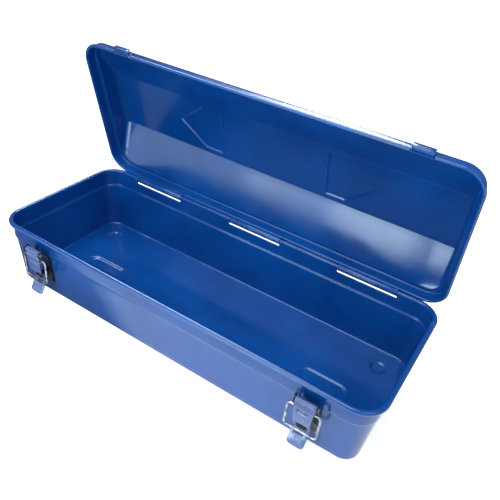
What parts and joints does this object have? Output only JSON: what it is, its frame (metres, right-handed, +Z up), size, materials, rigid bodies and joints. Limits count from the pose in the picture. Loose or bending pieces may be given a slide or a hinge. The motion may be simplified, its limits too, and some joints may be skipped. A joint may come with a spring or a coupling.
{
  "type": "portable tool box",
  "caption": "Pressed-steel tool box with one open tray, a hinged three-faced lid, draw latches with wire bails on the front and a folding carrying handle.",
  "frame": {"origin": "middle of the underside of the tray's floor; the pressed feet reach 1.5 mm below it", "axes": "+X along the length to the right as seen from the front, -Y to the front with the latches, +Y to the hinges, +Z up"},
  "size_m": [0.412, 0.2081, 0.2297],
  "materials": {
    "blue_enamel": "glossy blue stoving enamel over pressed sheet steel",
    "zinc_plate": "bright zinc plated sheet steel",
    "zinc_wire": "bright zinc plated steel wire and rod",
    "black_grip": "moulded black plastic sleeve"
  },
  "bodies": {
    "case": {"tray_shell": "blue_enamel", "latch_base_left": "zinc_plate", "latch_base_right": "zinc_plate", "base_rivets_left": "zinc_plate", "base_rivets_right": "zinc_plate", "lever_pin_left": "zinc_plate", "lever_pin_right": "zinc_plate"},
    "lid": {"lid_shell": "blue_enamel", "hinge_strap_left": "blue_enamel", "hinge_strap_middle": "blue_enamel", "hinge_strap_right": "blue_enamel", "keeper_left": "blue_enamel", "keeper_right": "blue_enamel", "handle_saddle_left": "zinc_plate", "handle_saddle_right": "zinc_plate"},
    "handle": {"handle_rod": "zinc_wire", "handle_grip": "black_grip"},
    "left_lever": {"lever_left": "blue_enamel"},
    "right_lever": {"lever_right": "blue_enamel"},
    "left_bail": {"bail_left": "zinc_wire"},
    "right_bail": {"bail_right": "zinc_wire"}
  },
  "joints": [
    {"name": "lid_hinge", "type": "hinge", "parent": "case", "child": "lid", "pos_m": [0, 0.079, 0.069], "axis": [1, 0, 0], "range_deg": [0, 75]},
    {"name": "handle_fold", "type": "hinge", "parent": "lid", "child": "handle", "pos_m": [0, 0.09893, 0.15613], "axis": [1, 0, 0], "range_deg": [0, 180]},
    {"name": "left_lever_turn", "type": "hinge", "parent": "case", "child": "left_lever", "pos_m": [-0.151, -0.08598, 0.0577], "axis": [-1, 0, 0], "range_deg": [0, 70]},
    {"name": "right_lever_turn", "type": "hinge", "parent": "case", "child": "right_lever", "pos_m": [0.151, -0.08598, 0.0577], "axis": [-1, 0, 0], "range_deg": [0, 70]},
    {"name": "left_bail_swing", "type": "hinge", "parent": "left_lever", "child": "left_bail", "pos_m": [-0.151, -0.08587, 0.05069], "axis": [-1, 0, 0], "range_deg": [0, 100]},
    {"name": "right_bail_swing", "type": "hinge", "parent": "right_lever", "child": "right_bail", "pos_m": [0.151, -0.08587, 0.05069], "axis": [-1, 0, 0], "range_deg": [0, 100]}
  ]
}
